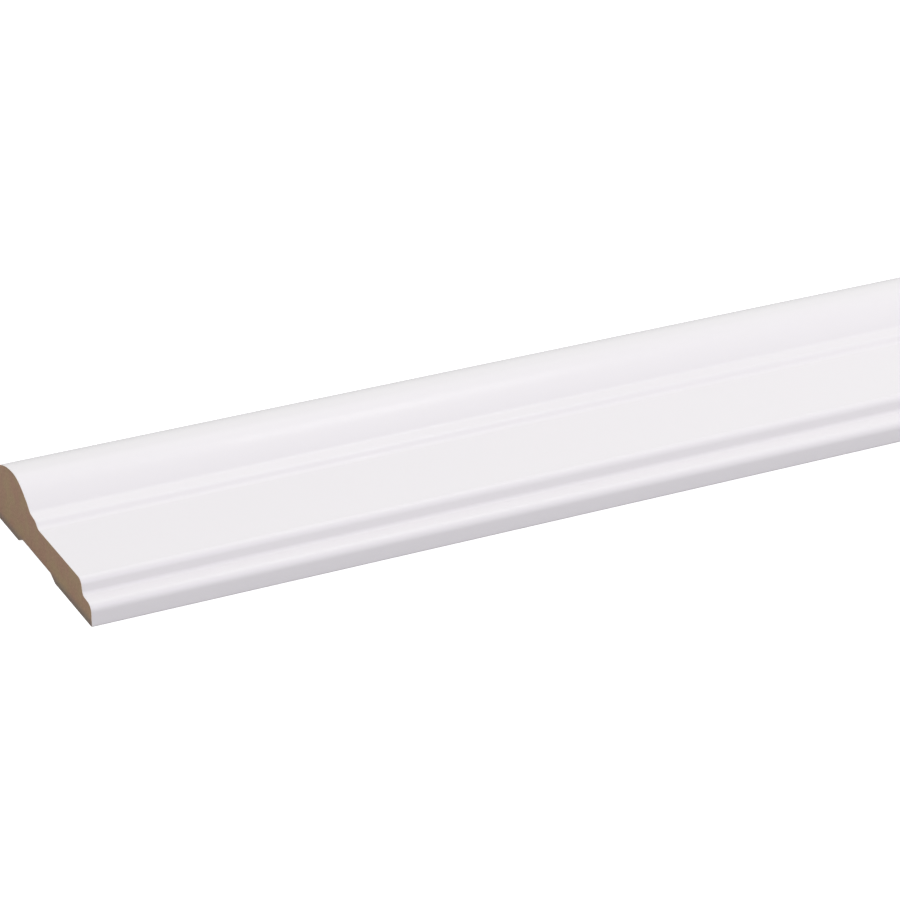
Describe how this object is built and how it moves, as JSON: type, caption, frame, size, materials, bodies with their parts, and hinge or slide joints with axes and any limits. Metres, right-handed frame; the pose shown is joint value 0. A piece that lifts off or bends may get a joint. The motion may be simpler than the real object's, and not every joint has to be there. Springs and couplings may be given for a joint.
{
  "type": "door architrave",
  "caption": "Cut length of white coated fibreboard door architrave: thin inner edge, low band, flat field, ogee and rolled thick outer edge, hollowed back.",
  "frame": {"origin": "middle of the back, in the plane of the two lands that rest on the wall and the door lining", "axes": "+X along the length, +Y across the width from the thin edge beside the door to the thick outer edge, +Z out of the wall"},
  "size_m": [0.3, 0.07, 0.018],
  "materials": {
    "white_coat": "medium density fibreboard with a smooth satin white coat on the face and both edges; the back and the cut ends are bare brown board"
  },
  "bodies": {
    "root": {"architrave_moulding": "white_coat"}
  },
  "joints": []
}
